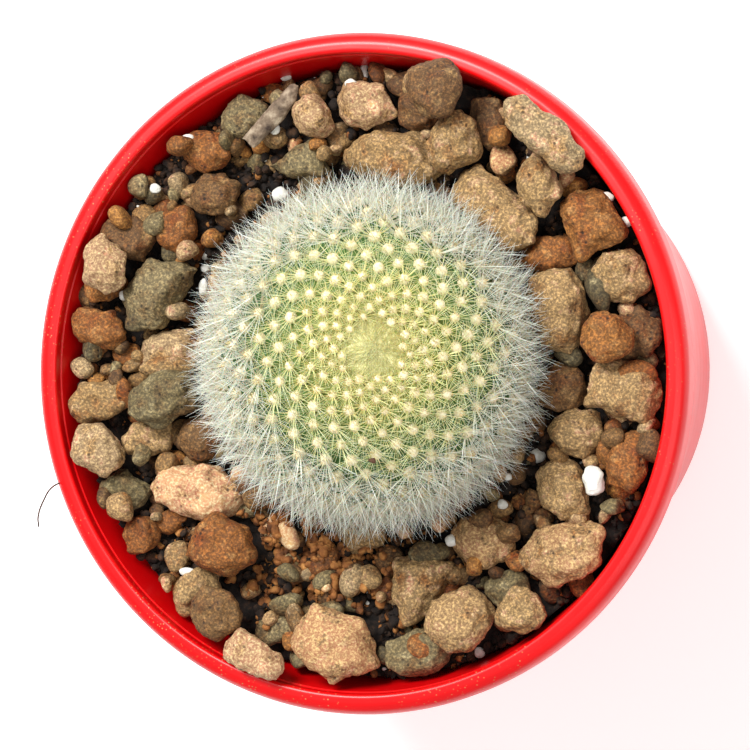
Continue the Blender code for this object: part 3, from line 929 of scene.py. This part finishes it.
# Small stones: centre x, y, length, width (mm), turn (degrees), rock, tone.
SMALL_STONES = (
    (32.7, 11.6, 5.0, 9.0, 0, "olive", 0.1),
    (28.2, 2.7, 4.5, 4.2, 0, "olive", 0.1),
    (39.3, -9.3, 5.0, 6.0, 20, "brown", 0.4),
    (34.9, -14.7, 4.5, 4.0, 0, "rust", 0.4),
    (37.9, 0.3, 7.0, 4.0, 10, "rust", 0.5),
    (-27.7, -19.8, 5.0, 4.3, 30, "rust", 0.5),
    (-26.4, -24.4, 6.5, 3.5, 20, "brown", 0.5),
    (3.1, -25.0, 5.0, 5.0, 0, "brown", 0.5),
    (8.7, -23.8, 5.5, 4.0, 10, "olive", 0.2),
    (21.9, -19.1, 4.5, 5.0, 0, "brown", 0.2),
    (16.5, -19.1, 5.0, 3.5, 0, "brown", 0.5),
    (-33.6, 2.5, 4.8, 4.2, 0, "rust", 0.5),
    (-39.6, 10.4, 4.0, 4.0, 0, "brown", 0.4),
    (8.5, -36.0, 5.0, 4.2, 0, "rust", 0.5),
    (-32.7, -2.7, 3.2, 5.0, 0, "rust", 0.5),
    (-21.6, 10.6, 5.0, 3.6, 0, "rust", 0.4),
    (5.7, 38.0, 7.0, 4.4, 0, "brown", 0.3),
    (-19.3, 21.1, 5.8, 4.8, 0, "brown", 0.2),
    (-29.9, 8.1, 8.5, 4.5, 35, "olive", 0.2),
    (-38.2, 3.4, 4.2, 3.5, 0, "rust", 0.4),
    (-26.4, 0.8, 9.0, 3.2, 5, "tan", 0.5),
    (-33.2, -18.0, 4.6, 5.3, 0, "tan", 0.7),
    (-4.7, -31.9, 6.8, 4.0, 0, "olive", 0.6),
    (33.2, -9.8, 4.3, 5.4, 0, "rust", 0.6),
)


def settle(bed, x, y, length, width, turn):
    """The middle one of five heights of the bed under a small stone."""
    under = []
    for along, across in ((0, 0), (0.3, 0), (-0.3, 0), (0, 0.3), (0, -0.3)):
        dx, dy = along * length, across * width
        spot_x = x + dx * math.cos(turn) - dy * math.sin(turn)
        spot_y = y + dx * math.sin(turn) + dy * math.cos(turn)
        under.append(bed.top(spot_x, spot_y))
    return sorted(under)[2]


def make_small_stones(bed):
    for rock, material in ROCKS.items():
        blocks = pebble_models(material, 4, len(rock))
        places, tones = [], []
        rng = random.Random(len(rock) + 20)
        for x, y, length, width, turn, kind, tone in SMALL_STONES:
            if kind != rock:
                continue
            turn = math.radians(turn)
            thick = 0.75 * min(length, width) * MM
            z = settle(bed, x * MM, y * MM, length * MM, width * MM, turn) + 0.3 * thick
            spin = Euler((rng.uniform(-0.3, 0.3), rng.uniform(-0.3, 0.3), turn)).to_matrix().to_4x4()
            size = Matrix.Diagonal((length, width, thick / MM, 1))
            z = min(z, soil_height(x * MM, y * MM) + 4.2 * MM)
            places.append(Matrix.Translation((x * MM, y * MM, z)) @ spin @ size)
            tones.append(tone)
        # Fillers between the big stones, 2 to 4 mm, only where the bed is still low.
        wanted = {"rust": 110, "brown": 100, "tan": 85, "pale": 36, "olive": 50}[rock]
        while len(places) < wanted:
            x, y = rng.uniform(-40, 40) * MM, rng.uniform(-40, 40) * MM
            if math.hypot(x, y) > 40 * MM:
                continue
            floor = bed.top(x, y)
            if floor > soil_height(x, y) + 3.2 * MM:
                continue
            size = rng.uniform(2.4, 5.6)
            spin = Euler([rng.uniform(0, math.tau) for _ in range(3)]).to_matrix().to_4x4()
            shape = Matrix.Diagonal((size, size * rng.uniform(0.6, 0.9), size * rng.uniform(0.5, 0.7), 1))
            places.append(Matrix.Translation((x, y, floor + 0.2 * size * MM)) @ spin @ shape)
            tones.append(rng.random())
        stones = copies(blocks, f"small_stones_{rock}", places, tones)
        discard(*blocks)
        apply(stones, "SUBSURF", levels=1, render_levels=1)
        apply(stones, "DISPLACE", texture=DENTS, texture_coords="LOCAL", strength=0.3 * MM, mid_level=0.5)
        smooth(stones)
        finish_piece(stones, f"gravel_{rock}")
        bed.lay(stones)


def scatter(bed, name, models, slot, count, seed, sizes, spread, depth=1.3 * MM):
    """Loose grains at random places where the bed is within depth of the soil. spread gives a place."""
    rng = random.Random(seed)
    places = []
    tries = 0
    while len(places) < count and tries < count * 12:
        tries += 1
        spot = spread(rng)
        floor = bed.top(*spot)
        if math.hypot(*spot) > 40.6 * MM or floor > soil_height(*spot) + depth:
            continue
        size = sizes[0] + (sizes[1] - sizes[0]) * rng.random() ** 2
        spin = Euler([rng.uniform(0, math.tau) for _ in range(3)]).to_matrix().to_4x4()
        shape = Matrix.Diagonal((size, size * rng.uniform(0.6, 1), size * rng.uniform(0.5, 0.9), 1))
        places.append(Matrix.Translation((*spot, floor + 0.2 * size * MM)) @ spin @ shape)
    grains = copies(models, name, places)
    smooth(grains, 50)
    return finish_piece(grains, slot)


def anywhere(rng):
    return rng.uniform(-41, 41) * MM, rng.uniform(-41, 41) * MM


def near(x, y, spread_x, spread_y):
    def place(rng):
        return (x + rng.gauss(0, spread_x)) * MM, (y + rng.gauss(0, spread_y)) * MM

    return place


# Perlite crumbs: x, y, length, width (mm).
PERLITE_CRUMBS = (
    (-11.5, 39.5, 2.0, 1.2), (-7.6, 39.8, 1.6, 1.5), (-0.9, 40.0, 1.6, 3.3), (-1.5, 38.3, 2.2, 1.6),
    (-12.2, 32.5, 1.6, 2.1), (-24.0, 31.4, 2.2, 1.4), (-23.8, 29.6, 1.4, 1.2), (-29.0, 24.7, 1.9, 1.6),
    (-6.2, 34.5, 2.1, 1.6), (-12.2, 23.8, 2.9, 2.4), (-23.2, 15.7, 1.5, 1.4), (-22.8, 14.0, 1.6, 1.5),
    (-22.8, 11.5, 1.6, 2.6), (-33.0, 10.3, 1.6, 1.5), (22.6, 28.3, 1.9, 2.9), (25.0, 26.9, 1.5, 1.4),
    (15.4, 22.0, 2.1, 2.9), (18.3, 20.8, 3.2, 1.4), (33.6, 23.0, 2.7, 1.6), (36.0, 19.8, 1.9, 1.6),
    (-24.2, -26.6, 2.8, 1.5), (23.2, -10.8, 2.9, 2.3), (19.2, -17.1, 1.7, 1.5), (19.9, -13.5, 1.5, 1.3),
    (12.6, -21.9, 2.4, 1.9), (15.1, -36.9, 1.8, 1.7),
)


def make_crumbs(bed):
    peat = pebble_models(PEAT_CRUMBS, 4, 5)
    for model in peat:
        apply(model, "DECIMATE", ratio=0.5)
    scatter(bed, "soil_crumbs", peat, "potting_soil", 2600, 31, (0.4, 2.0), anywhere)
    grit = pebble_models(GRIT, 4, 6)
    for model in grit:
        apply(model, "DECIMATE", ratio=0.6)
    drift = near(-9.5, -25.0, 6.5, 4.2)
    scatter(bed, "rusty_grit", grit, "gravel_rust", 620, 33, (0.5, 2.0), drift, 3.0 * MM)
    scatter(bed, "loose_grit", grit, "gravel_rust", 420, 34, (0.35, 1.5), anywhere)
    white = pebble_models(PERLITE, 3, 7)
    places = []
    rng = random.Random(8)
    for x, y, length, width in PERLITE_CRUMBS:
        thick = 0.8 * min(length, width)
        z = min(bed.top(x * MM, y * MM), soil_height(x * MM, y * MM) + 3.5 * MM) + 0.3 * thick * MM
        spin = Matrix.Rotation(rng.uniform(-0.4, 0.4), 4, "X")
        shape = Matrix.Diagonal((length, width, thick, 1))
        places.append(Matrix.Translation((x * MM, y * MM, z)) @ spin @ shape)
    crumbs = copies(white, "perlite_crumbs", places)
    apply(crumbs, "SUBSURF", levels=1, render_levels=1)
    smooth(crumbs)
    finish_piece(crumbs, "perlite")
    scatter(bed, "perlite_dust", white, "perlite", 60, 35, (0.3, 0.9), anywhere)
    discard(*peat, *grit, *white)


def make_rootlet():
    """A dried rootlet that hangs over the lip."""
    route = [
        (-39.6, -14.0, 58.6),
        (-41.2, -14.6, 60.6),
        (-42.6, -15.4, 62.3),
        (-43.8, -17.2, 62.4),
        (-44.9, -19.4, 61.6),
        (-45.3, -20.8, 60.4),
    ]
    deselect()
    bpy.ops.curve.primitive_bezier_curve_add()
    root = bpy.context.object
    spline = root.data.splines[0]
    spline.bezier_points.add(len(route) - 2)
    for point, place in zip(spline.bezier_points, route):
        point.co = Vector(place) * MM
        point.handle_left_type = point.handle_right_type = "AUTO"
    root.data.bevel_depth = 0.11 * MM
    root.data.bevel_resolution = 2
    root.data.use_fill_caps = True
    bpy.ops.object.convert(target="MESH")
    finish_piece(name_piece("rootlet", ROOT), "bark")


# ---------------------------------------------------------------- stage


def make_stage():
    deselect()
    bpy.ops.mesh.primitive_plane_add(size=6)
    floor = bpy.context.object
    floor.name = "floor"
    paper, _, shader = new_material("white_paper_sweep", Roughness=0.9, Emission_Strength=0.4)
    shader.inputs["Base Color"].default_value = linear("#f7f7f6")
    shader.inputs["Emission Color"].default_value = (1, 1, 1, 1)
    floor.data.materials.append(paper)
    scene = bpy.context.scene
    world = bpy.data.worlds.new("studio")
    scene.world = world
    world.use_nodes = True
    world.node_tree.nodes["Background"].inputs["Color"].default_value = (1, 1, 1, 1)
    world.node_tree.nodes["Background"].inputs["Strength"].default_value = 0.42
    scene.view_settings.view_transform = "Standard"
    scene.view_settings.look = "None"


def soft_box(name, place, size, power):
    """A square soft light aimed at the cactus."""
    light = bpy.data.lights.new(name, "AREA")
    light.energy = power
    light.size = size
    lamp = bpy.data.objects.new(name, light)
    lamp.location = place
    lamp.rotation_mode = "QUATERNION"
    lamp.rotation_quaternion = (Vector(place) - Vector((0, 0, 0.06))).to_track_quat("Z", "Y")
    bpy.context.scene.collection.objects.link(lamp)


def make_camera():
    """Looks steeply down from the +X side, with the pot's middle a little left of the frame's."""
    tilt, swing = math.radians(17.9), math.radians(2.4)
    distance = 600 * MM
    frame_width = 98.685 * MM
    shift_right, shift_up = 2.776 * MM, -0.132 * MM
    back = Vector((math.sin(tilt) * math.cos(swing), math.sin(tilt) * math.sin(swing), math.cos(tilt)))
    up = (Vector((0, 1, 0)) - back * back.y).normalized()
    right = up.cross(back)
    aim = Vector((0, 0, POT_HEIGHT)) + right * shift_right + up * shift_up
    data = bpy.data.cameras.new("camera")
    data.sensor_width = 36
    data.lens = 36 * distance / frame_width
    data.clip_start = 0.01
    camera = bpy.data.objects.new("camera", data)
    turn = Matrix((right, up, back)).transposed().to_4x4()
    camera.matrix_world = Matrix.Translation(aim + back * distance) @ turn
    bpy.context.scene.collection.objects.link(camera)
    bpy.context.scene.camera = camera


def main():
    make_camera()
    make_stage()
    soft_box("key", (-0.22, 0.45, 0.85), 0.38, 13.0)
    soft_box("fill", (0.5, -0.2, 0.8), 0.7, 3.0)
    pot = make_pot()
    soil = make_soil()
    stem = make_stem()
    make_spines()
    make_stones()
    laid = [o for o in bpy.data.objects if o.name.startswith(("stone_", "perlite_grain", "bark_splinter"))]
    bed = Bed([pot, soil, stem, *laid])
    make_small_stones(bed)
    make_crumbs(bed)
    make_rootlet()


main()
